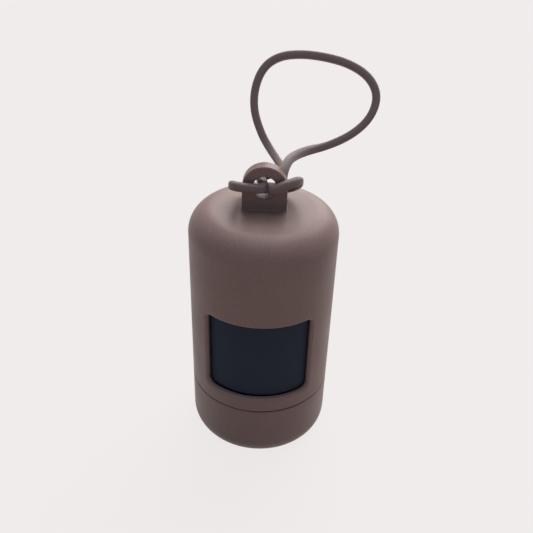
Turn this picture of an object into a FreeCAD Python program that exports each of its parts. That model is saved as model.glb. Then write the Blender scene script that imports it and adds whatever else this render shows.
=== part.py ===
import FreeCAD, Part
import math
import os
from FreeCAD import Vector

# Waste bag dispenser: a moulded bottle-shaped shell with a dispensing window and a strap lug,
# a twist-off base cap, a wound roll of bags on its cardboard core, and an elastomer strap
# hitched through the lug. Millimetres, +Z up, the window faces -Y, the cap stands on Z = 0.

# Body
body_diameter = 40.0
body_height = 73.0
shell_wall = 1.4
shoulder_radius = 6.7
cap_height = 18.6
parting_gap = 0.25
rim_round = 0.3

# Base cap
cap_floor = 2.0
base_edge_radius = 6.3
cap_inner_edge_radius = 1.6
spigot_height = 3.65
spigot_wall = 1.15
spigot_clearance = 0.15
spigot_tip_round = 0.3

# Twist lock: lugs inside the shell's mouth run in screw slots through the cap's spigot
lock_count = 3
lock_lead = 12.0
lock_turn = 45.0
lock_lug_span = 10.0
lock_lug_height = 1.0
lock_lug_depth = 0.8
lock_lug_rise = 0.4
lock_clearance = 0.15
lock_first_angle = 90.0

# Dispensing window
window_width = 26.8
window_height = 24.75
window_sill_margin = 0.95
window_sill_radius = 1.9
window_head_radius = 1.3
window_edge_round = 0.8

# Strap lug on the crown
lug_width = 11.7
lug_thickness = 3.4
lug_hole_diameter = 6.2
lug_hole_rise = 6.3
lug_edge_round = 0.35
lug_root_fillet = 0.3

# Refill roll
roll_clearance = 0.7
roll_headroom = 9.6
core_diameter = 13.0
core_wall = 1.0
core_overhang = 0.65
core_seat_clearance = 0.05
film_fit = 0.05
film_step = 0.4

# Strap and the pivot where its free loop bends away from the hitch
strap_diameter = 2.0
pivot_y = 4.2
pivot_z = 81.0
pivot_radius = 2.6
pivot_gap = 0.3
arc_share = 0.45

# How far a lug's root reaches into the wall that carries it, and how closely points must agree
root_depth = 0.35
tolerance = 0.001
edge_samples = 5

# Sizes worked out from the values above
body_radius = body_diameter / 2
shell_bore = body_radius - shell_wall
mouth_z = cap_height + parting_gap
ceiling_z = body_height - shell_wall
spigot_radius = shell_bore - spigot_clearance
spigot_bore = spigot_radius - spigot_wall
spigot_top = mouth_z + spigot_height
window_bottom = spigot_top + window_sill_margin
window_top = window_bottom + window_height
lug_radius = lug_width / 2
lug_hole_z = body_height + lug_hole_rise
roll_radius = spigot_bore - roll_clearance
core_bottom = cap_floor + core_seat_clearance
core_top = ceiling_z - roll_headroom
film_bottom = core_bottom + core_overhang
film_top = core_top - core_overhang
core_radius = core_diameter / 2

# Route of the strap: up the left strand from the hitch, round the free loop, and down the right
# strand. The hitch itself runs through the lug's hole, round both its sides and behind it.
left_stem = [
    (3.7, 5.05, 79.3), (4.7, 5.15, 80.2), (4.8, 5.75, 81.2), (3.9, 6.55, 82.0), (2.5, 7.4, 83.2),
]
right_stem = [(6.2, 5.3, 84.9), (5.15, 4.2, 83.5), (4.5, 3.25, 82.0), (3.8, 2.85, 80.7)]
free_loop = [
    (0.9, 8.4, 85.3), (-1.7, 10.4, 88.7), (-4.0, 13.0, 94.1), (-4.0, 15.8, 99.2), (-2.0, 18.3, 103.8),
    (2.0, 19.7, 106.3), (7.6, 20.0, 107.0), (13.8, 19.6, 106.6), (20.0, 18.8, 105.4), (25.2, 17.2, 102.8),
    (27.7, 14.8, 98.8), (26.3, 12.0, 94.1), (22.0, 9.6, 90.3), (15.7, 7.8, 87.5), (9.8, 6.5, 86.4),
]
hitch_wrap = [
    (2.75, 2.85, 79.85), (1.7, 2.0, 79.45), (1.65, 0.3, 79.4), (1.7, -1.9, 79.5), (2.6, -3.0, 79.8),
    (4.2, -3.2, 80.7), (6.2, -2.9, 81.4), (8.2, -1.4, 81.6), (8.8, 1.2, 80.8), (8.6, 3.7, 79.8),
    (7.1, 6.2, 78.9), (3.6, 7.6, 78.1), (-0.8, 7.6, 77.6), (-4.6, 6.9, 77.3), (-7.3, 4.9, 77.3),
    (-8.6, 2.4, 77.6), (-8.7, -0.4, 78.5), (-7.6, -2.6, 79.4), (-4.6, -3.1, 79.8), (-1.6, -3.05, 79.8),
    (-0.5, -2.0, 79.7), (-0.45, 0.2, 79.5), (-0.45, 2.6, 79.3), (0.2, 4.3, 79.1), (1.6, 5.05, 78.95),
]
loop_route = left_stem + free_loop + right_stem[:3]
hitch_route = right_stem + hitch_wrap + left_stem

AXIS = Vector(0, 0, 1)
ORIGIN = Vector(0, 0, 0)


def rounded_outline(corners):
    """Closed wire in the XZ plane; each corner is (x, z, radius), with a radius of 0 left sharp."""
    points = [Vector(x, 0, z) for x, z, radius in corners]
    starts, ends, arcs = [], [], []
    for index, (x, z, radius) in enumerate(corners):
        corner = points[index]
        back = (points[index - 1] - corner).normalize()
        ahead = (points[(index + 1) % len(points)] - corner).normalize()
        if radius == 0:
            starts.append(corner)
            ends.append(corner)
            arcs.append(None)
            continue
        half = back.getAngle(ahead) / 2
        reach = radius / math.tan(half)
        inward = (back + ahead).normalize()
        start = corner + back * reach
        end = corner + ahead * reach
        middle = corner + inward * (radius / math.sin(half) - radius)
        starts.append(start)
        ends.append(end)
        arcs.append(Part.Arc(start, middle, end).toShape())
    edges = []
    for index, arc in enumerate(arcs):
        if arc is not None:
            edges.append(arc)
        following = starts[(index + 1) % len(points)]
        if ends[index].distanceToPoint(following) > tolerance:
            edges.append(Part.LineSegment(ends[index], following).toShape())
    return Part.Wire(edges)


def turned(corners):
    """Solid of revolution about Z from an outline of (radius, z, corner radius)."""
    return Part.Face(rounded_outline(corners)).revolve(ORIGIN, AXIS, 360)


def ring_sector(inner, outer, low, high, start, span):
    """Block of a ring between two radii and two heights, from one angle over a span in degrees."""
    outline = rounded_outline([(inner, low, 0), (outer, low, 0), (outer, high, 0), (inner, high, 0)])
    block = Part.Face(outline).revolve(ORIGIN, AXIS, span)
    block.rotate(ORIGIN, AXIS, start)
    return block


def screw_block(inner, outer, low, height, start, span):
    """Block that climbs with the twist lock's lead as it goes round, from its first face at start."""
    outline = rounded_outline(
        [(inner, low, 0), (outer, low, 0), (outer, low + height, 0), (inner, low + height, 0)])
    spine = Part.makeHelix(lock_lead, lock_lead * span / 360, (inner + outer) / 2)
    spine.translate(Vector(0, 0, low))
    block = Part.Wire(spine).makePipeShell([outline], True, True)
    block.rotate(ORIGIN, AXIS, start)
    return block


def lock_angles():
    """Angles of the twist lock's lugs about Z at rest."""
    return [lock_first_angle + 360 / lock_count * index for index in range(lock_count)]


def on_outer_wall(edge):
    """True for an edge that lies on the body's outer cylinder all along."""
    points = edge.discretize(edge_samples)
    return all(abs(math.hypot(point.x, point.y) - body_radius) < tolerance for point in points)


def window_cutter():
    """Straight-pull cutter for the window, with its corners rounded."""
    half = window_width / 2
    outline = rounded_outline([
        (-half, window_bottom, window_sill_radius), (half, window_bottom, window_sill_radius),
        (half, window_top, window_head_radius), (-half, window_top, window_head_radius)])
    return Part.Face(outline).extrude(Vector(0, -body_diameter, 0))


def strap_lug():
    """Upright lug with a round head, a hole for the strap and softened edges."""
    root_z = body_height - root_depth
    left = Vector(-lug_radius, 0, lug_hole_z)
    right = Vector(lug_radius, 0, lug_hole_z)
    head = Vector(0, 0, lug_hole_z + lug_radius)
    left_root = Vector(-lug_radius, 0, root_z)
    right_root = Vector(lug_radius, 0, root_z)
    outline = Part.Wire([
        Part.LineSegment(left_root, left).toShape(), Part.Arc(left, head, right).toShape(),
        Part.LineSegment(right, right_root).toShape(), Part.LineSegment(right_root, left_root).toShape()])
    plate = Part.Face(outline).extrude(Vector(0, lug_thickness, 0))
    plate.translate(Vector(0, -lug_thickness / 2, 0))
    bore = Part.makeCylinder(
        lug_hole_diameter / 2, lug_thickness * 2, Vector(0, -lug_thickness, lug_hole_z), Vector(0, 1, 0))
    lug = plate.cut(bore)
    rims = [edge for edge in lug.Edges
            if edge.BoundBox.YLength < tolerance and edge.BoundBox.ZMax > root_z + tolerance]
    return lug.makeFillet(lug_edge_round, rims)


def make_shell():
    """Upper shell: wall, round shoulder and crown, window, strap lug and lock lugs in its mouth."""
    shell = turned([
        (0, body_height, 0), (body_radius, body_height, shoulder_radius),
        (body_radius, mouth_z, rim_round), (shell_bore, mouth_z, 0),
        (shell_bore, ceiling_z, shoulder_radius - shell_wall), (0, ceiling_z, 0)])
    shell = shell.cut(window_cutter())
    low = window_bottom - tolerance
    high = window_top + tolerance
    frame = [edge for edge in shell.Edges
             if on_outer_wall(edge) and edge.BoundBox.YMax < 0
             and edge.BoundBox.ZMin > low and edge.BoundBox.ZMax < high]
    shell = shell.makeFillet(window_edge_round, frame)
    shell = shell.fuse(strap_lug()).removeSplitter()
    root = [edge for edge in shell.Edges
            if edge.BoundBox.ZLength < tolerance and abs(edge.BoundBox.ZMax - body_height) < tolerance
            and abs(edge.BoundBox.YMax) < lug_thickness and abs(edge.BoundBox.XMax) < lug_width]
    shell = shell.makeFillet(lug_root_fillet, root)
    lug_low = cap_height + lock_lug_rise
    for angle in lock_angles():
        shell = shell.fuse(screw_block(
            shell_bore - lock_lug_depth, shell_bore + root_depth, lug_low, lock_lug_height,
            angle - lock_lug_span / 2, lock_lug_span))
    return shell


def make_base_cap():
    """Twist-off base cap: cup with a rounded foot and a slotted spigot that enters the shell."""
    cap = turned([
        (0, 0, 0), (body_radius, 0, base_edge_radius), (body_radius, cap_height, rim_round),
        (spigot_radius, cap_height, 0), (spigot_radius, spigot_top, spigot_tip_round),
        (spigot_bore, spigot_top, spigot_tip_round), (spigot_bore, cap_floor, cap_inner_edge_radius),
        (0, cap_floor, 0)])
    side = math.degrees(lock_clearance / spigot_radius)
    inner = spigot_bore - spigot_wall
    outer = spigot_radius + spigot_clearance / 2
    slot_low = cap_height + lock_lug_rise - lock_clearance - lock_lead * side / 360
    slot_height = lock_lug_height + 2 * lock_clearance
    slot_span = lock_turn + lock_lug_span + 2 * side
    mouth_span = lock_lug_span + 2 * side
    mouth_low = slot_low + lock_lead * (lock_turn + mouth_span / 2) / 360
    for angle in lock_angles():
        start = angle - lock_lug_span / 2 - side
        cap = cap.cut(screw_block(inner, outer, slot_low, slot_height, start, slot_span))
        cap = cap.cut(ring_sector(
            inner, outer, mouth_low, spigot_top + spigot_height, start + lock_turn, mouth_span))
    return cap


def make_roll_core():
    """Cardboard tube at the middle of the roll, standing on the cap's floor."""
    return turned([
        (core_radius - core_wall, core_bottom, 0), (core_radius, core_bottom, 0),
        (core_radius, core_top, 0), (core_radius - core_wall, core_top, 0)])


def make_bag_roll():
    """Wound bags: two half turns of a spiral with the step of the outer bag's free edge at the back."""
    turn_start = Vector(0, roll_radius, film_bottom)
    turn_side = Vector(roll_radius, 0, film_bottom)
    turn_front = Vector(0, -roll_radius, film_bottom)
    inner_radius = roll_radius - film_step / 2
    inner_side = Vector(-inner_radius, -film_step / 2, film_bottom)
    turn_end = Vector(0, roll_radius - film_step, film_bottom)
    outline = Part.Wire([
        Part.Arc(turn_start, turn_side, turn_front).toShape(),
        Part.Arc(turn_front, inner_side, turn_end).toShape(),
        Part.LineSegment(turn_end, turn_start).toShape()])
    film = Part.Face(outline).extrude(Vector(0, 0, film_top - film_bottom))
    bore = Part.makeCylinder(core_radius + film_fit, film_top, Vector(0, 0, film_bottom / 2))
    return film.cut(bore)


def strap_path(route):
    """Wire of straight runs joined by tangent arcs, each as large as its two runs allow."""
    points = [Vector(*point) for point in route]
    edges = []
    last = points[0]
    for before, corner, after in zip(points, points[1:], points[2:]):
        back = before - corner
        ahead = after - corner
        reach = arc_share * min(back.Length, ahead.Length)
        back.normalize()
        ahead.normalize()
        half = back.getAngle(ahead) / 2
        radius = reach * math.tan(half)
        middle = corner + (back + ahead).normalize() * (radius / math.sin(half) - radius)
        start = corner + back * reach
        end = corner + ahead * reach
        edges.append(Part.LineSegment(last, start).toShape())
        edges.append(Part.Arc(start, middle, end).toShape())
        last = end
    edges.append(Part.LineSegment(last, points[-1]).toShape())
    return Part.Wire(edges)


def strap_tube(route, diameter):
    """Round tube along a stretch of the strap."""
    first = Vector(*route[0])
    heading = Vector(*route[1]) - first
    section = Part.Wire(Part.makeCircle(diameter / 2, first, heading))
    return strap_path(route).makePipeShell([section], True, False)


def strap_stretch(name, route):
    """Tube of the strap's own thickness; prints its arcs' radii and compares its volume."""
    tube = strap_tube(route, strap_diameter)
    path = strap_path(route)
    radii = [round(edge.Curve.Radius, 1) for edge in path.Edges if isinstance(edge.Curve, Part.Circle)]
    expected = math.pi * strap_diameter ** 2 / 4 * path.Length
    print(name, "radii", radii)
    print(name, "length", round(path.Length, 1), "volume", round(tube.Volume / expected, 4))
    return tube


def pivot_drum(radius):
    """Cylinder about the pivot axis, along which the two stretches of strap meet."""
    return Part.makeCylinder(
        radius, body_diameter, Vector(-body_radius, pivot_y, pivot_z), Vector(1, 0, 0))


def make_strap_loop():
    """Free loop of the strap, hollowed at its two ends to swing round the pivot."""
    loop = strap_stretch("strap_loop", loop_route).cut(pivot_drum(pivot_radius + pivot_gap))
    return max(loop.Solids, key=lambda solid: solid.Volume)


def make_strap_hitch():
    """Hitch of the strap round the lug; its two ends are rounded about the pivot, where the loop begins."""
    hitch = strap_stretch("strap_hitch", hitch_route)
    for stem in (left_stem[1:], right_stem[:-1]):
        beyond = strap_tube(stem, strap_diameter + pivot_gap).cut(pivot_drum(pivot_radius))
        hitch = hitch.cut(beyond)
    return hitch


def main():
    """Build every piece and write it to its own file."""
    os.makedirs("parts", exist_ok=True)
    pieces = {
        "shell": make_shell(),
        "base_cap": make_base_cap(),
        "roll_core": make_roll_core(),
        "bag_roll": make_bag_roll(),
        "strap_hitch": make_strap_hitch(),
        "strap_loop": make_strap_loop(),
    }
    for name, shape in pieces.items():
        solids = shape.Solids
        print(name, shape.isValid(), len(solids), round(shape.Volume, 1))
        shape.exportStep("parts/" + name + ".step")


main()
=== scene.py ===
"""Waste bag dispenser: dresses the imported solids, adds the wound bags and the strap, and sets the studio."""

import logging
import math
from dataclasses import dataclass
from enum import Enum

import bpy
import numpy as np
from mathutils import Matrix, Vector


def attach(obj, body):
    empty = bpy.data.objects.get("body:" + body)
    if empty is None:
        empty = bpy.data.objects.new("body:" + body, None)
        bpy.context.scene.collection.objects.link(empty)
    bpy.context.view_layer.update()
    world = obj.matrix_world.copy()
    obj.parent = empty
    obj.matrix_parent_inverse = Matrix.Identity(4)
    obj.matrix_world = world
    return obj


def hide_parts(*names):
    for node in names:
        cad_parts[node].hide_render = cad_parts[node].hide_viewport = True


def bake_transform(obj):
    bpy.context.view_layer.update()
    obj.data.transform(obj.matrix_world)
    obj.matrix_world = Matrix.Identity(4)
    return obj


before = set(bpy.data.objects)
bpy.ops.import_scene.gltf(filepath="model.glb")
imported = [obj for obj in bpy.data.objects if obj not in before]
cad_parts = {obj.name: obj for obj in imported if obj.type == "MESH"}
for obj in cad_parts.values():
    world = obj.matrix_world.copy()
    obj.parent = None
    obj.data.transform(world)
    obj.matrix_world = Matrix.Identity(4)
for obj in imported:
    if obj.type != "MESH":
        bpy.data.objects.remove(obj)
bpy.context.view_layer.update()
log = logging.getLogger("dispenser")

MM = 0.001
FULL_TURN = 2 * math.pi
Colour = tuple[float, float, float, float]
Point = tuple[float, float, float]
Span = tuple[float, float]
Socket = bpy.types.NodeSocket
Tree = bpy.types.NodeTree


def linear(hex_colour: str) -> Colour:
    """Turn an sRGB hex colour into linear light, by the sRGB standard's own curve.

    Args:
        hex_colour: Six hex digits with a leading hash.

    Returns:
        Red, green, blue and an opaque alpha.
    """
    srgb = np.array([int(hex_colour[i:i + 2], 16) for i in (1, 3, 5)]) / 255
    light = np.where(srgb <= 0.04045, srgb / 12.92, ((srgb + 0.055) / 1.055) ** 2.4)
    return (*map(float, light), 1.0)


def add_node(tree: Tree, kind: str, inputs: dict | None = None, **settings) -> bpy.types.Node:
    """Add a node, set its properties, and set or link its inputs.

    Args:
        tree: The node tree that takes the node.
        kind: Blender's identifier of the node.
        inputs: Socket names or numbers with a value, or with an output socket to link from.
        settings: Properties of the node itself.

    Returns:
        The new node.
    """
    node = tree.nodes.new(kind)
    for name, value in settings.items():
        setattr(node, name, value)
    for name, value in (inputs or {}).items():
        if isinstance(value, Socket):
            tree.links.new(value, node.inputs[name])
        else:
            node.inputs[name].default_value = value
    return node


def object_place(tree: Tree) -> Socket:
    """Place of the shaded point in the object's own metres."""
    return add_node(tree, "ShaderNodeTexCoord").outputs["Object"]


def attribute(tree: Tree, name: str) -> Socket:
    """Value of an attribute that the piece keeps on its points."""
    return add_node(tree, "ShaderNodeAttribute", attribute_name=name).outputs["Fac"]


def compute(tree: Tree, operation: str, *values: float | Socket) -> Socket:
    """Result of one of Blender's math operations on numbers or sockets."""
    return add_node(tree, "ShaderNodeMath", dict(enumerate(values)), operation=operation).outputs[0]


def per_metre(millimetres: float) -> float:
    """Texture scale at which one feature of a pattern measures this many millimetres."""
    return 1.0 / (millimetres * MM)


def noise(tree: Tree, place: Socket, size_mm: float, detail: float, roughness: float = 0.5) -> Socket:
    """Soft random pattern from 0 to 1.

    Args:
        tree: The node tree that takes the node.
        place: Where the pattern is read, in metres.
        size_mm: Size of one feature.
        detail: Number of finer octaves.
        roughness: Strength of each octave against the one before.

    Returns:
        The pattern's value.
    """
    return add_node(tree, "ShaderNodeTexNoise", {
        "Vector": place, "Scale": per_metre(size_mm), "Detail": detail, "Roughness": roughness,
    }).outputs["Fac"]


def remap(tree: Tree, value: Socket, source: Span, target: Span) -> Socket:
    """Value carried from one span to another, held at the ends."""
    return add_node(tree, "ShaderNodeMapRange", {
        "Value": value, "From Min": source[0], "From Max": source[1],
        "To Min": target[0], "To Max": target[1],
    }).outputs["Result"]


def mix_colours(tree: Tree, share: Socket, first: Colour | Socket, second: Colour | Socket) -> Socket:
    """Mix of two colours: the first at a share of 0, the second at 1."""
    # The mix node's sockets share names; 0 is the factor, 6 and 7 are its colours and output 2 their mix.
    return add_node(tree, "ShaderNodeMix", {0: share, 6: first, 7: second}, data_type="RGBA").outputs[2]


@dataclass(frozen=True)
class Relief:
    """Bump of a finish: its strength, and the real height that it stands for."""

    strength: float
    height_mm: float

    def normal(self, tree: Tree, height: Socket) -> Socket:
        """Normal of a surface with this relief, from a height of 0 to about 1."""
        return add_node(tree, "ShaderNodeBump", {
            "Height": height, "Strength": self.strength, "Distance": self.height_mm * MM}).outputs["Normal"]


def new_material(name: str) -> tuple[bpy.types.Material, Tree]:
    """Make an empty node material.

    Args:
        name: The material's name.

    Returns:
        The material and its cleared node tree.
    """
    material = bpy.data.materials.new(name)
    material.use_nodes = True
    material.node_tree.nodes.clear()
    return material, material.node_tree


def cover(tree: Tree, inputs: dict) -> None:
    """End a material in a Principled surface with these inputs."""
    surface = add_node(tree, "ShaderNodeBsdfPrincipled", inputs)
    add_node(tree, "ShaderNodeOutputMaterial", {"Surface": surface.outputs["BSDF"]})


def unit(vectors: np.ndarray) -> np.ndarray:
    """Scale each vector of an array to length one."""
    return vectors / np.linalg.norm(vectors, axis=-1, keepdims=True)


def eased(share: np.ndarray) -> np.ndarray:
    """Hold a share between 0 and 1 and ease it by 3 s^2 - 2 s^3."""
    held = np.clip(share, 0, 1)
    return held * held * (3 - 2 * held)


def grid_object(name: str, points: np.ndarray) -> bpy.types.Object:
    """Make a smooth closed surface from a grid of points that wraps round in both parameters.

    Quad (i, j) joins rows i and i + 1 and columns j and j + 1, counted round.

    Args:
        name: The object's name.
        points: Array of rows by columns by three, in metres.

    Returns:
        The linked object, at the origin.
    """
    rows, columns = points.shape[:2]
    row, column = np.meshgrid(np.arange(rows), np.arange(columns), indexing="ij")
    ahead = (row + 1) % rows
    aside = (column + 1) % columns
    quads = np.stack([
        row * columns + column,
        row * columns + aside,
        ahead * columns + aside,
        ahead * columns + column,
    ], axis=-1)
    mesh = bpy.data.meshes.new(name)
    mesh.from_pydata(points.reshape(-1, 3), [], quads.reshape(-1, 4))
    mesh.polygons.foreach_set("use_smooth", np.ones(len(mesh.polygons), dtype=bool))
    mesh.update()
    thing = bpy.data.objects.new(name, mesh)
    bpy.context.scene.collection.objects.link(thing)
    return thing


def store(thing: bpy.types.Object, name: str, values: np.ndarray) -> None:
    """Keep one number per point of a mesh as a named attribute that its material reads."""
    kept = thing.data.attributes.new(name, "FLOAT", "POINT")
    kept.data.foreach_set("value", values.astype(np.float32).ravel())


def dress(thing: bpy.types.Object, material: bpy.types.Material) -> None:
    """Give an object one material on all its faces."""
    thing.data.materials.clear()
    thing.data.materials.append(material)


@dataclass(frozen=True)
class SoftTouchAbs:
    """Moulded ABS with a soft-touch coat: even mocha brown, fine spark-eroded grain, broad dull sheen."""

    name: str = "soft_touch_abs"
    colour: str = "#8b7067"
    rubbed_colour: str = "#92776d"
    mottle_mm: float = 9.0
    mottle_roughness: float = 0.6
    polish_span: Span = (0.35, 0.65)
    grain_mm: float = 0.45
    speck_span: Span = (0.3, 0.7)
    speck_depth: float = 0.09
    relief: Relief = Relief(strength=0.4, height_mm=0.04)
    roughness: float = 0.47
    polished_roughness: float = 0.41
    ior: float = 1.5
    gloss: float = 0.25

    def material(self) -> bpy.types.Material:
        """Build the material: mottled colour, roughness that handling has polished in places, and grain.

        The grain shows as fine specks, each a little darker or paler than the colour, and as bump.
        """
        material, tree = new_material(self.name)
        place = object_place(tree)
        mottle = noise(tree, place, self.mottle_mm, detail=4.0, roughness=self.mottle_roughness)
        colour = mix_colours(tree, mottle, linear(self.colour), linear(self.rubbed_colour))
        polish = remap(tree, mottle, self.polish_span, (self.roughness, self.polished_roughness))
        # The real grain is about a tenth of a millimetre; it is drawn coarser so that it shows.
        grain = noise(tree, place, self.grain_mm, detail=2.0)
        speck = remap(tree, grain, self.speck_span, (1 - self.speck_depth, 1 + self.speck_depth))
        specked = add_node(tree, "ShaderNodeHueSaturation", {"Color": colour, "Value": speck})
        cover(tree, {
            "Base Color": specked.outputs["Color"], "Roughness": polish, "IOR": self.ior,
            "Specular IOR Level": self.gloss, "Normal": self.relief.normal(tree, grain)})
        return material


@dataclass(frozen=True)
class MouldedElastomer:
    """Moulded elastomer: the body's brown, matte, with faint flow lines, and a pale patch round the knot that
    is partly strain whitening and partly painted highlight.
    """

    name: str = "moulded_elastomer"
    colour: str = "#7c6764"
    flow_colour: str = "#84706c"
    # Pale colour round the knot: partly strain whitening, partly painted highlight on the faces that turn up
    # there.
    pale_strain_and_highlight_colour: str = "#dfcbbd"
    flow_mm: float = 0.35
    flow_draw: float = 0.06
    grain_mm: float = 0.5
    seam_mm: float = 0.12
    seam_share: float = 0.6
    relief: Relief = Relief(strength=0.3, height_mm=0.04)
    roughness: float = 0.5
    ior: float = 1.5
    gloss: float = 0.25

    def material(self) -> bpy.types.Material:
        """Build the material: flow lines drawn along the band, a faint seam on each edge, fine grain."""
        material, tree = new_material(self.name)
        thick = attribute(tree, "thick")
        drawn = compute(tree, "MULTIPLY", attribute(tree, "along"), self.flow_draw)
        across = attribute(tree, "across")
        place = add_node(tree, "ShaderNodeCombineXYZ", {"X": drawn, "Y": across, "Z": thick})
        flow = noise(tree, place.outputs[0], self.flow_mm, detail=3.0)
        colour = mix_colours(tree, flow, linear(self.colour), linear(self.flow_colour))
        # Paler round the knot: partly strain whitening, partly painted highlight.
        pale_strain_and_highlight = mix_colours(tree, attribute(tree, "strain_and_highlight"), colour, linear(self.pale_strain_and_highlight_colour))
        grain = noise(tree, object_place(tree), self.grain_mm, detail=2.0)
        seam = remap(tree, compute(tree, "ABSOLUTE", thick), (0.0, self.seam_mm * MM), (1.0, 0.0))
        height = compute(tree, "MULTIPLY_ADD", seam, self.seam_share, grain)
        cover(tree, {
            "Base Color": pale_strain_and_highlight, "Roughness": self.roughness, "IOR": self.ior,
            "Specular IOR Level": self.gloss, "Normal": self.relief.normal(tree, height)})
        return material


@dataclass(frozen=True)
class PolyethyleneFilm:
    """Blown polyethylene film, blue-black: dull sheen, faint draw lines round the roll, paler layer edges."""

    name: str = "polyethylene_film"
    colour: str = "#2f3440"
    edge_colour: str = "#3d434f"
    layer_mm: float = 0.35
    layer_contrast: float = 0.8
    draw_mm: float = 1.2
    draw_squeeze: Point = (0.25, 0.25, 1.0)
    draw_share: float = 0.7
    relief: Relief = Relief(strength=0.35, height_mm=0.05)
    roughness: float = 0.68
    roughness_swing: float = 0.06
    ior: float = 1.51
    gloss: float = 0.1

    def material(self) -> bpy.types.Material:
        """Build the material: ends banded by the wound layers, walls with draw lines and faint creases."""
        material, tree = new_material(self.name)
        drawn = add_node(tree, "ShaderNodeMapping", {
            "Vector": object_place(tree), "Scale": self.draw_squeeze})
        draw = noise(tree, drawn.outputs[0], self.draw_mm, detail=3.0)
        turns = compute(tree, "MULTIPLY", attribute(tree, "wound"), FULL_TURN * per_metre(self.layer_mm))
        layers = remap(tree, compute(tree, "SINE", turns), (-1.0, 1.0), (0.0, self.layer_contrast))
        height = compute(tree, "MULTIPLY_ADD", draw, self.draw_share, layers)
        dull = remap(tree, draw, (0.0, 1.0), (
            self.roughness - self.roughness_swing, self.roughness + self.roughness_swing))
        cover(tree, {
            "Base Color": mix_colours(tree, layers, linear(self.colour), linear(self.edge_colour)),
            "Roughness": dull, "IOR": self.ior,
            "Specular IOR Level": self.gloss, "Normal": self.relief.normal(tree, height)})
        return material


@dataclass(frozen=True)
class WoundCard:
    """Spirally wound grey-brown cardboard: short fibres, and a butt seam that climbs round the tube."""

    name: str = "wound_card"
    colour: str = "#a58d70"
    fibre_colour: str = "#8b7459"
    seam_colour: str = "#5f4e3b"
    seam_pitch_mm: float = 17.0
    seam_part: float = 0.03
    fibre_mm: float = 0.8
    fibre_roughness: float = 0.7
    fibre_share: float = 0.5
    relief: Relief = Relief(strength=0.4, height_mm=0.06)
    roughness: float = 0.85
    ior: float = 1.45

    def material(self) -> bpy.types.Material:
        """Build the material: fibres as noise, and a thin dark seam where angle and height climb together."""
        material, tree = new_material(self.name)
        place = object_place(tree)
        fibres = noise(tree, place, self.fibre_mm, detail=5.0, roughness=self.fibre_roughness)
        parts = add_node(tree, "ShaderNodeSeparateXYZ", {"Vector": place}).outputs
        turn = compute(tree, "MULTIPLY", compute(tree, "ARCTAN2", parts["Y"], parts["X"]), 1 / FULL_TURN)
        climb = compute(tree, "MULTIPLY_ADD", parts["Z"], per_metre(self.seam_pitch_mm), turn)
        off_seam = remap(tree, compute(tree, "PINGPONG", climb, 1.0), (0.0, self.seam_part), (0.0, 1.0))
        colour = mix_colours(tree, fibres, linear(self.colour), linear(self.fibre_colour))
        height = compute(tree, "MULTIPLY_ADD", fibres, self.fibre_share, off_seam)
        cover(tree, {
            "Base Color": mix_colours(tree, off_seam, linear(self.seam_colour), colour),
            "Roughness": self.roughness, "IOR": self.ior, "Normal": self.relief.normal(tree, height)})
        return material


@dataclass
class Housing:
    """The two mouldings of the body: the shell with its window and lug, and the twist-off base cap."""

    finish: SoftTouchAbs = SoftTouchAbs()

    def build(self) -> list[bpy.types.Object]:
        """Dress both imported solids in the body's finish."""
        skin = self.finish.material()
        solids = [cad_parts[name] for name in ("shell", "base_cap")]
        for solid in solids:
            dress(solid, skin)
        return solids


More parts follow.
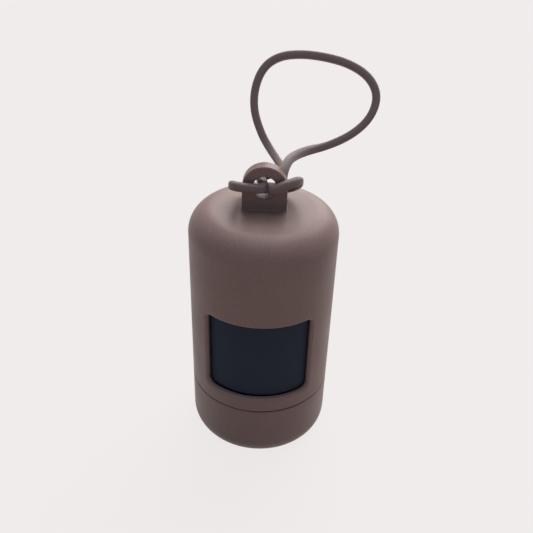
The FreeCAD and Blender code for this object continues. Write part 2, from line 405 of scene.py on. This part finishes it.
@dataclass
class RefillRoll:
    """The refill: a cardboard core with the bags wound on it."""

    film: PolyethyleneFilm = PolyethyleneFilm()
    card: WoundCard = WoundCard()
    radius: float = 16.6 * MM
    bore: float = 6.55 * MM
    bottom: float = 2.7 * MM
    top: float = 61.35 * MM
    free_edge_step: float = 0.4 * MM
    spring: float = 1.75 * MM
    spring_bottom: float = 22.3 * MM
    spring_run: float = 1.6 * MM
    layer_pitch: float = 0.9 * MM
    layer_relief: float = 0.16 * MM
    crease_relief: float = 0.10 * MM
    crease_count: int = 9
    crease_waves_round: tuple[int, int] = (1, 7)
    crease_waves_per_metre: Span = (30.0, 160.0)
    columns: int = 240
    end_rings: int = 64
    wall_rings: int = 120
    seed: int = 7

    def outer_radius(self, turn: np.ndarray) -> np.ndarray:
        """Radius of the wound film: even over the first half turn, then down by the step of the free edge.

        Args:
            turn: Share of a full turn from the free edge at the back, clockwise from above.

        Returns:
            The radius in metres.
        """
        return self.radius - self.free_edge_step * np.clip(2 * turn - 1, 0, 1)

    def sprung(self, height: np.ndarray) -> np.ndarray:
        """How far the loose outer turns have sprung out to the shell: 0 in the cap's rim, all of it above.

        Args:
            height: Height in metres.

        Returns:
            The growth of the radius in metres, eased in over the run.
        """
        return self.spring * eased((height - self.spring_bottom) / self.spring_run)

    def profile(self) -> tuple[np.ndarray, np.ndarray, np.ndarray]:
        """Closed outline of the roll's section: up the wall, in over the top, down the bore, out below.

        Returns:
            Share of the way from bore to wall, height, and share of the end's layer relief, for each ring.
        """
        end_count = self.end_rings - 1
        inward = np.linspace(1, 0, self.end_rings)
        heights = np.linspace(self.bottom, self.top, self.wall_rings)
        share = np.concatenate([np.ones(self.wall_rings), inward[1:], inward[::-1][:-1]])
        height = np.concatenate([heights, np.full(end_count, self.top), np.full(end_count, self.bottom)])
        end = np.concatenate([np.zeros(self.wall_rings), -np.ones(end_count), np.ones(end_count)])
        return share, height, end

    def creases(self, turn: np.ndarray, height: np.ndarray) -> np.ndarray:
        """Mean of a few sine waves that run round and slightly up the wall, as loosely wound film shows.

        Args:
            turn: Share of a full turn.
            height: Height in metres.

        Returns:
            Depth from 0 to 1.
        """
        chance = np.random.default_rng(self.seed)
        waves_round = chance.integers(*self.crease_waves_round, self.crease_count)[:, None, None]
        waves_up = chance.uniform(*self.crease_waves_per_metre, self.crease_count)[:, None, None]
        phase = chance.uniform(0, FULL_TURN, self.crease_count)[:, None, None]
        waves = np.sin(FULL_TURN * waves_round * turn + FULL_TURN * waves_up * height + phase)
        return 0.5 + waves.sum(axis=0) / (2 * self.crease_count)

    def build(self) -> list[bpy.types.Object]:
        """Make the wound bags and dress the core.

        The section is carried round the axis from the free edge. Its wall is the outer radius, grown by the
        spring and dented by the creases. Each end is dented in grooves, a sine of the wound radius over
        the layer pitch, that die out at bore and wall as 4 s (1 - s).

        Returns:
            The roll and the core.
        """
        share, height, end = self.profile()
        turn = np.linspace(0, 1, self.columns)
        turn_grid, share_grid = np.meshgrid(turn, share, indexing="ij")
        height_grid = np.broadcast_to(height, share_grid.shape)
        end_grid = np.broadcast_to(end, share_grid.shape)
        wall = self.outer_radius(turn_grid) + self.sprung(height_grid)
        wall = wall - self.crease_relief * self.creases(turn_grid, height_grid)
        radius = self.bore + (wall - self.bore) * share_grid
        wound = radius + self.layer_pitch * turn_grid
        ridges = 0.5 + 0.5 * np.sin(FULL_TURN * wound / self.layer_pitch)
        inside = np.clip(4 * share_grid * (1 - share_grid), 0, 1)
        lifted = height_grid + end_grid * self.layer_relief * ridges * inside
        angle = math.pi / 2 - FULL_TURN * turn_grid
        points = np.stack([radius * np.cos(angle), radius * np.sin(angle), lifted], axis=-1)
        roll = grid_object("wound_bags", points)
        store(roll, "wound", np.where(end_grid == 0, 0.0, wound))
        dress(roll, self.film.material())
        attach(roll, "bags")
        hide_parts("bag_roll")
        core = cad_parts["roll_core"]
        dress(core, self.card.material())
        return [roll, core]


class Stretch(Enum):
    """Stretches of the strap, by the way the flat band faces along them."""

    WRAP = "wrap round the lug"
    THROAT = "strand in the hole"
    RIGHT_STEM = "right strand from the loop to behind the lug"
    FREE = "left strand behind the lug, and loop"


# The strap's route, in millimetres, from the middle of the bight behind the lug round to it again
LEFT_WRAP_ROUTE: list[Point] = [
    (1.4, 7.6, 74.6), (-0.8, 7.6, 74.5), (-4.2, 7.0, 74.8), (-7.0, 5.2, 75.9), (-8.3, 2.4, 77.6),
    (-8.5, -0.4, 79.2), (-7.4, -2.6, 80.0), (-4.6, -3.1, 79.95), (0.3, -3.1, 79.8),
]
LEFT_THROAT_ROUTE: list[Point] = [(-0.8, 1.2, 79.85), (-1.5, 3.6, 79.8)]
LEFT_STEM_ROUTE: list[Point] = [
    (0.6, 5.2, 80.0), (3.0, 5.7, 80.6), (3.8, 6.5, 81.9), (2.6, 7.4, 83.4),
]
LOOP_ROUTE: list[Point] = [
    (0.9, 8.4, 85.3), (-1.7, 10.4, 88.7), (-4.0, 13.0, 94.1), (-4.0, 15.8, 99.2), (-2.0, 18.3, 103.8),
    (2.0, 19.7, 106.3), (7.6, 20.0, 107.0), (13.8, 19.6, 106.6), (20.0, 18.8, 105.4), (25.2, 17.2, 102.8),
    (27.7, 14.8, 98.8), (26.3, 12.0, 94.1), (22.0, 9.6, 90.3), (15.7, 7.8, 87.5),
]
RIGHT_STEM_ROUTE: list[Point] = [
    (9.8, 6.5, 86.4), (6.2, 5.3, 84.9), (5.15, 4.2, 83.5), (4.6, 3.3, 81.8), (4.4, 3.1, 79.8),
    (3.9, 3.3, 77.9), (2.4, 3.3, 77.1),
]
RIGHT_THROAT_ROUTE: list[Point] = [(1.3, 2.5, 77.9), (1.5, 0.0, 78.4)]
RIGHT_WRAP_ROUTE: list[Point] = [
    (1.65, -3.2, 79.3), (4.2, -3.2, 80.6), (6.2, -2.9, 81.4), (8.2, -1.4, 81.6), (8.9, 1.2, 80.3),
    (8.5, 3.7, 78.3), (7.0, 6.2, 76.0), (3.8, 7.6, 74.8), (1.4, 7.6, 74.6),
]
STRAP_ROUTE: list[tuple[Stretch, list[Point]]] = [
    (Stretch.WRAP, LEFT_WRAP_ROUTE), (Stretch.THROAT, LEFT_THROAT_ROUTE),
    (Stretch.FREE, LEFT_STEM_ROUTE + LOOP_ROUTE), (Stretch.RIGHT_STEM, RIGHT_STEM_ROUTE),
    (Stretch.THROAT, RIGHT_THROAT_ROUTE), (Stretch.WRAP, RIGHT_WRAP_ROUTE),
]
FIXED_WIDTH_AXES: dict[Stretch, Point] = {
    Stretch.WRAP: (0.0, 0.0, 1.0),
    Stretch.THROAT: (-1.0, 0.0, 0.0),
    Stretch.RIGHT_STEM: (-0.37, 0.91, 0.18),
}


@dataclass
class WristStrap:
    """One closed flat band, hitched through the lug: wraps round its sides, two stems, and the free loop."""

    finish: MouldedElastomer = MouldedElastomer()
    width: float = 2.4 * MM
    thickness: float = 2.05 * MM
    squareness: float = 3.0
    length: float = 0.167
    ring_points: int = 32
    steps: int = 10
    stem_face: Point = (0.0, -0.2, 1.0)
    loop_width_axis: Point = (0.0, 0.87, -0.5)
    stem_height: float = 80.5 * MM
    loop_height: float = 82.5 * MM
    # Centre and reach of the pale patch: partly strain whitening, partly painted highlight.
    strain_and_highlight_place: Point = (4.8 * MM, 4.6 * MM, 84.0 * MM)
    strain_and_highlight_reach: float = 5.0 * MM
    bend_start: Point = (0.0050, 0.0042, 0.08124)
    bend_end: Point = (0.0050, 0.0062, 0.0855)

    def route(self) -> np.ndarray:
        """Points of the whole route in metres, from the middle of the bight round to it again."""
        return np.array([point for _, points in STRAP_ROUTE for point in points]) * MM

    def width_axes(self, route: np.ndarray) -> np.ndarray:
        """Direction of the band's width at each point of the route.

        The wraps stand on edge, so their width is upright. In the lug's hole both strands lie flat, with
        their width sideways, and the right stem keeps one direction of its own. On the left stem the face
        looks up, so the width is that direction crossed with the route's own. The loop's width is the axis of
        the plane it leans in. Between the stem's and the loop's height the two are mixed.

        Args:
            route: Points of the route in metres.

        Returns:
            One unit vector per point.
        """
        kinds = np.array([kind.value for kind, points in STRAP_ROUTE for _ in points])[:, None]
        heading = unit(np.gradient(route, axis=0))
        stem = unit(np.cross(np.array(self.stem_face), heading))
        share = eased((route[:, 2] - self.stem_height) / (self.loop_height - self.stem_height))[:, None]
        axes = unit(stem * (1 - share) + np.array(self.loop_width_axis) * share)
        for kind, axis in FIXED_WIDTH_AXES.items():
            axes = np.where(kinds == kind.value, np.array(axis), axes)
        return axes

    def smooth_line(self, points: np.ndarray) -> np.ndarray:
        """Points read from the smooth NURBS line that has these points as its control points.

        Args:
            points: Control points in metres.

        Returns:
            Points along the line.
        """
        curve = bpy.data.curves.new("strap_line", "CURVE")
        curve.dimensions = "3D"
        spline = curve.splines.new("NURBS")
        spline.points.add(len(points) - 1)
        spline.points.foreach_set("co", np.column_stack([points, np.ones(len(points))]).ravel())
        spline.order_u = 3
        spline.use_endpoint_u = True
        spline.resolution_u = self.steps
        holder = bpy.data.objects.new("strap_line", curve)
        line = bpy.data.meshes.new_from_object(holder)
        read = np.empty(len(line.vertices) * 3)
        line.vertices.foreach_get("co", read)
        bpy.data.objects.remove(holder)
        bpy.data.curves.remove(curve)
        bpy.data.meshes.remove(line)
        return read.reshape(-1, 3)

    def section(self) -> tuple[np.ndarray, np.ndarray]:
        """Superellipse of the band's section, (w cos^(2/n), t sin^(2/n)), signs kept, with n the squareness.

        Returns:
            Offsets across the width and through the thickness, in metres, for each point of a ring.
        """
        angle = FULL_TURN * np.arange(self.ring_points) / self.ring_points
        power = 2 / self.squareness
        across = self.width / 2 * np.sign(np.cos(angle)) * np.abs(np.cos(angle)) ** power
        thick = self.thickness / 2 * np.sign(np.sin(angle)) * np.abs(np.sin(angle)) ** power
        return across, thick

    def build(self) -> list[bpy.types.Object]:
        """Carry the band's section along its smooth line, and close it on itself behind the lug.

        The section is laid out on the width and face directions. A second line, half a width to the side,
        gives the width direction. The pale patch, partly strain whitening and partly painted highlight, falls
        off from where its stems part as exp(-(distance / reach)^2).

        Returns:
            The strap.
        """
        route = self.route()
        centre = self.smooth_line(route)
        rail = self.smooth_line(route + self.width_axes(route) * self.width / 2)
        heading = unit(np.gradient(centre, axis=0))
        side = rail - centre
        side = unit(side - heading * (side * heading).sum(axis=1, keepdims=True))
        face = np.cross(heading, side)
        across, thick = self.section()
        sideways = side[:, None] * across[None, :, None]
        points = centre[:, None] + sideways + face[:, None] * thick[None, :, None]
        # The line ends where it starts, so its last ring is left out.
        rings = points[:-1]
        strap = grid_object("wrist_strap", rings)
        walked = np.concatenate([[0.0], np.cumsum(np.linalg.norm(np.diff(centre, axis=0), axis=1))])
        away = np.linalg.norm(rings - np.array(self.strain_and_highlight_place), axis=-1)
        store(strap, "along", np.broadcast_to(walked[:-1, None], rings.shape[:2]))
        store(strap, "across", np.broadcast_to(across, rings.shape[:2]))
        store(strap, "thick", np.broadcast_to(thick, rings.shape[:2]))
        # Share of the pale patch at each point: partly strain whitening, partly painted highlight.
        store(strap, "strain_and_highlight", np.exp(-(away / self.strain_and_highlight_reach) ** 2))
        log.info("strap line %.1f mm", walked[-1] / MM)
        dress(strap, self.finish.material())
        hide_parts("strap_hitch", "strap_loop")
        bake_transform(strap)
        return [strap]


@dataclass(frozen=True)
class Lamp:
    """A distant soft light behind the part, with its height, turn to the right and spread in degrees."""

    name: str
    strength: float
    elevation: float
    turn: float
    spread: float

    def hang(self) -> None:
        """Hang the lamp so that it shines forward and down on the part."""
        lamp = bpy.data.lights.new(self.name, "SUN")
        lamp.energy = self.strength
        lamp.angle = math.radians(self.spread)
        rise = math.radians(self.elevation)
        turn = math.radians(self.turn)
        away = Vector((math.cos(rise) * math.sin(turn), math.cos(rise) * math.cos(turn), math.sin(rise)))
        holder = bpy.data.objects.new(self.name, lamp)
        holder.location = away
        holder.rotation_euler = away.to_track_quat("Z", "Y").to_euler()
        bpy.context.scene.collection.objects.link(holder)


@dataclass
class Studio:
    """Pale floor, soft light from above and behind, a dim even fill, and the photograph's camera angle.

    The camera's pitch, roll and heading are in degrees, its principal point in pixels from the top left.
    """

    backdrop: str = "#f0eceb"
    ground: str = "#b3a297"
    fill: str = "#8fa5c7"
    fill_strength: float = 0.48
    floor_size: float = 6.0
    floor_shadow_share: float = 0.06
    lamps: tuple[Lamp, ...] = (
        Lamp("key", strength=3.2, elevation=40.0, turn=18.0, spread=60.0),
        Lamp("top", strength=0.6, elevation=88.0, turn=0.0, spread=40.0),
    )
    image_pixels: float = 533.0
    focal_pixels: float = 700.0
    principal: Span = (266.322, 286.474)
    sensor_mm: float = 36.0
    clip: Span = (0.01, 20.0)
    camera_place: Point = (6.12 * MM, -161.3 * MM, 160.11 * MM)
    pitch: float = 34.829
    roll: float = 1.93
    heading: float = 1.7

    def seen_directly(self, tree: Tree) -> Socket:
        """Light path value: 1 where the camera, a gloss or a clear piece looks at it, and 0 for lighting."""
        path = add_node(tree, "ShaderNodeLightPath").outputs
        looked = compute(tree, "ADD", path["Is Camera Ray"], path["Is Glossy Ray"])
        return add_node(tree, "ShaderNodeMath", {
            0: looked, 1: path["Is Transmission Ray"]}, operation="ADD", use_clamp=True).outputs[0]

    def paint_world(self) -> None:
        """Light the scene evenly with the fill, and show the backdrop's colour where the world is seen."""
        world = bpy.data.worlds.new("studio")
        world.use_nodes = True
        tree = world.node_tree
        tree.nodes.clear()
        lit = add_node(tree, "ShaderNodeBackground", {
            "Color": linear(self.fill), "Strength": self.fill_strength})
        shown = add_node(tree, "ShaderNodeBackground", {"Color": linear(self.backdrop), "Strength": 1.0})
        mixed = add_node(tree, "ShaderNodeMixShader", {
            0: self.seen_directly(tree), 1: lit.outputs[0], 2: shown.outputs[0]})
        add_node(tree, "ShaderNodeOutputWorld", {"Surface": mixed.outputs[0]})
        bpy.context.scene.world = world

    def matte_paper(self) -> bpy.types.Material:
        """Matte paper: an even pale ground that only darkens softly where the part shades it."""
        material, tree = new_material("matte_paper")
        paper = add_node(tree, "ShaderNodeBsdfDiffuse", {"Color": linear(self.backdrop)})
        bounce = add_node(tree, "ShaderNodeBsdfDiffuse", {"Color": linear(self.ground)})
        glow = add_node(tree, "ShaderNodeEmission", {"Color": linear(self.backdrop), "Strength": 1.0})
        shown = add_node(tree, "ShaderNodeMixShader", {
            0: self.floor_shadow_share, 1: glow.outputs[0], 2: paper.outputs[0]})
        mixed = add_node(tree, "ShaderNodeMixShader", {
            0: self.seen_directly(tree), 1: bounce.outputs[0], 2: shown.outputs[0]})
        add_node(tree, "ShaderNodeOutputMaterial", {"Surface": mixed.outputs[0]})
        return material

    def lay_floor(self) -> None:
        """Lay a flat pale floor under the part that keeps its shadow."""
        edge = self.floor_size / 2
        corners = np.array([(-edge, -edge, 0), (edge, -edge, 0), (edge, edge, 0), (-edge, edge, 0)])
        mesh = bpy.data.meshes.new("floor")
        mesh.from_pydata(corners, [], [(0, 1, 2, 3)])
        floor = bpy.data.objects.new("floor", mesh)
        bpy.context.scene.collection.objects.link(floor)
        dress(floor, self.matte_paper())

    def set_camera(self) -> None:
        """Place the camera with the photograph's pitch, roll, heading, focal length and framing."""
        data = bpy.data.cameras.new("camera")
        data.sensor_width = self.sensor_mm
        data.lens = self.focal_pixels / self.image_pixels * data.sensor_width
        middle = (self.image_pixels - 1) / 2
        data.shift_x = (middle - self.principal[0]) / self.image_pixels
        data.shift_y = (self.principal[1] - middle) / self.image_pixels
        data.clip_start, data.clip_end = self.clip
        turn = (
            Matrix.Rotation(math.radians(self.heading), 4, "Z")
            @ Matrix.Rotation(math.radians(90 - self.pitch), 4, "X")
            @ Matrix.Rotation(math.radians(self.roll), 4, "Z")
        )
        camera = bpy.data.objects.new("camera", data)
        camera.matrix_world = Matrix.Translation(self.camera_place) @ turn
        bpy.context.scene.collection.objects.link(camera)
        bpy.context.scene.camera = camera

    def build(self) -> None:
        """Set up the world, the floor, the light, the camera and a plain view transform."""
        self.paint_world()
        self.lay_floor()
        for lamp in self.lamps:
            lamp.hang()
        self.set_camera()
        bpy.context.scene.view_settings.view_transform = "Standard"


def main() -> None:
    """Build the studio and every sub-assembly in order, and log each piece's faces."""
    logging.basicConfig(level=logging.INFO, format="%(name)s: %(message)s")
    Studio().build()
    for assembly in (Housing(), RefillRoll(), WristStrap()):
        for piece in assembly.build():
            log.info("%s: %s, %d faces", type(assembly).__name__, piece.name, len(piece.data.polygons))


if __name__ == "__main__":
    main()
